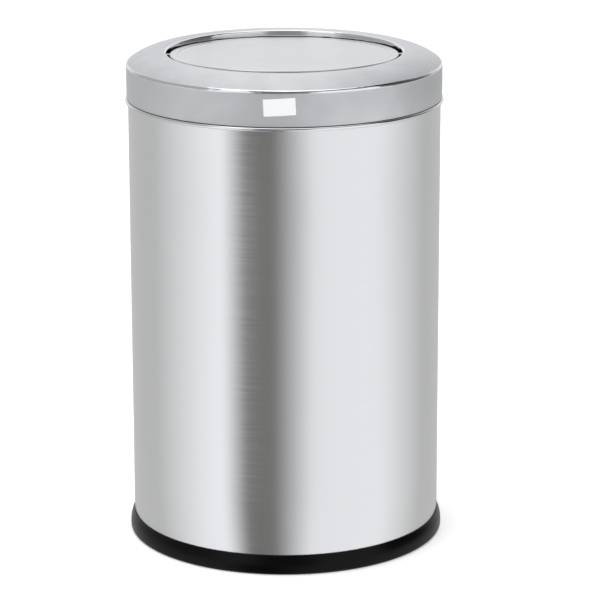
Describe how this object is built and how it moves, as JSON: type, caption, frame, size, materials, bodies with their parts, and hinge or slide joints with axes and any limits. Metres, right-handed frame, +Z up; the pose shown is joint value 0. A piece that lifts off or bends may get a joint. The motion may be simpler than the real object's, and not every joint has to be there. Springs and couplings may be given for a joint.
{
  "type": "swing-lid trash can",
  "caption": "Round brushed-steel waste bin on a black moulded base ring, with a lift-off domed lid whose dished, counterweighted flap swings on side pins and closes by itself.",
  "frame": {"origin": "on the floor, at the middle of the base ring", "axes": "+Z up, along the bin's axis; -Y is the front, where the label is; +X is the right as seen from the front, and the flap's pins lie along it"},
  "size_m": [0.3052, 0.3052, 0.4726],
  "materials": {
    "body_steel": "satin stainless sheet, brushed up its height",
    "lid_steel": "satin stainless pressing",
    "flap_steel": "satin stainless pressing",
    "inner_steel": "plain mill-finish steel, out of sight",
    "pin_steel": "drawn bright steel",
    "base_plastic": "black moulded polypropylene, semi-gloss",
    "label_film": "blank white self-adhesive film",
    "weight_paint": "black-painted steel block",
    "fastener_zinc": "zinc-plated steel"
  },
  "bodies": {
    "can": {"body_shell": "body_steel", "bottom_pan": "inner_steel", "base_ring": "base_plastic"},
    "lid": {"lid_shell": "lid_steel", "lid_locating_ring": "inner_steel", "label": "label_film", "hinge_plate_left": "inner_steel", "hinge_plate_right": "inner_steel"},
    "flap": {"flap_skin": "flap_steel", "flap_strap": "inner_steel", "pivot_pin_left": "pin_steel", "pivot_pin_right": "pin_steel", "counterweight": "weight_paint", "counterweight_studs": "fastener_zinc", "counterweight_washers": "fastener_zinc", "counterweight_nuts": "fastener_zinc"}
  },
  "joints": [
    {"name": "lid_lift", "type": "slide", "parent": "can", "child": "lid", "axis": [0, 0, 1], "range_m": [0, 0.12]},
    {"name": "flap_swing", "type": "hinge", "parent": "lid", "child": "flap", "pos_m": [0, 0, 0.46794], "axis": [1, 0, 0], "range_deg": [-70, 73.6]}
  ]
}
